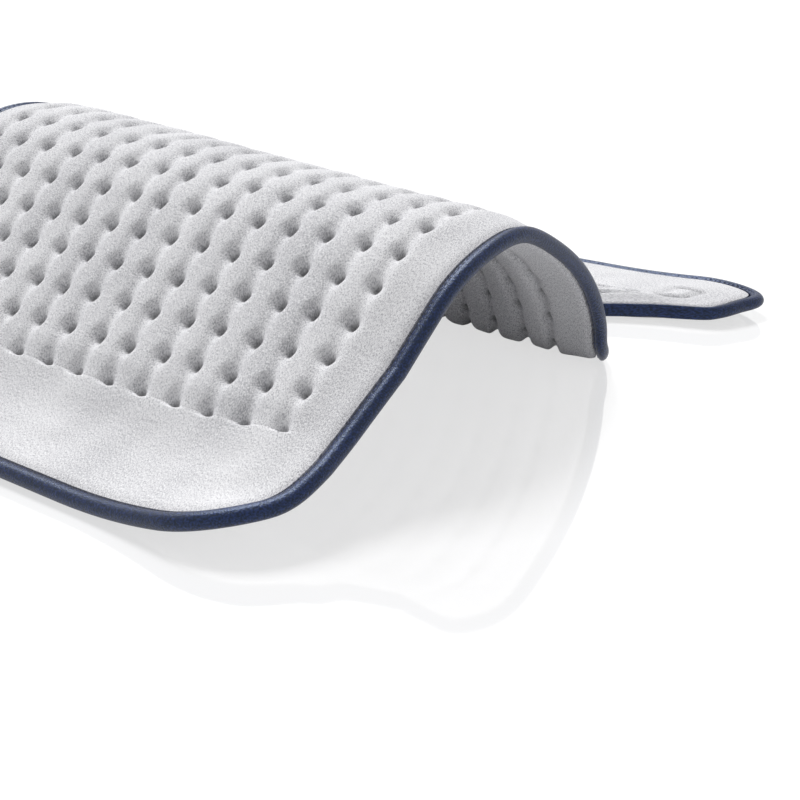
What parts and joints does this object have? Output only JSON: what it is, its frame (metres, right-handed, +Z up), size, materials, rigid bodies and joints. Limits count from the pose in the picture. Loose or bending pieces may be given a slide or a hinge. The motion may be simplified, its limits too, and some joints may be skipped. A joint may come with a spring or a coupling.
{
  "type": "heating pad",
  "caption": "Quilted plush heating pad lying in one raised wave, with a bound edge, plain end panels, an inner heating layer and a coupling socket.",
  "frame": {"origin": "middle of the pad's outline in plan, on the plane that the pad lies on", "axes": "+Z up; +Y from the near edge over the wave to the far edge; +X along the wave towards the end that shows"},
  "size_m": [0.2994, 0.35, 0.0871],
  "materials": {
    "plush": "short pile plush, quilted",
    "navy_tape": "woven satin tape",
    "fleece": "thin needled fleece",
    "red_silicone": "smooth sleeve",
    "white_silicone": "smooth sleeve",
    "black_plastic": "fine matte",
    "grey_plastic": "fine matte",
    "brass": "bright turned",
    "steel": "plated"
  },
  "bodies": {
    "root": {"upper_near_end_panel": "plush", "upper_quilted_panel": "plush", "upper_far_end_panel": "plush", "lower_near_end_panel": "plush", "lower_quilted_panel": "plush", "lower_far_end_panel": "plush", "edge_binding": "navy_tape", "corner_stitch_square": "plush", "carrier_fleece": "fleece", "heating_wire": "red_silicone", "near_crimp_sleeve": "steel", "far_crimp_sleeve": "steel", "return_lead": "white_silicone", "thermal_cutout": "black_plastic", "neutral_lead": "white_silicone", "live_lead": "white_silicone", "temperature_sensor": "black_plastic", "sensor_lead_1": "white_silicone", "sensor_lead_2": "white_silicone", "socket_lower_shell": "grey_plastic", "socket_upper_shell": "grey_plastic", "contact_carrier": "black_plastic", "contact_pin_1": "brass", "contact_pin_2": "brass", "contact_pin_3": "brass", "contact_pin_4": "brass", "socket_screw_1": "steel", "socket_screw_2": "steel"}
  },
  "joints": []
}
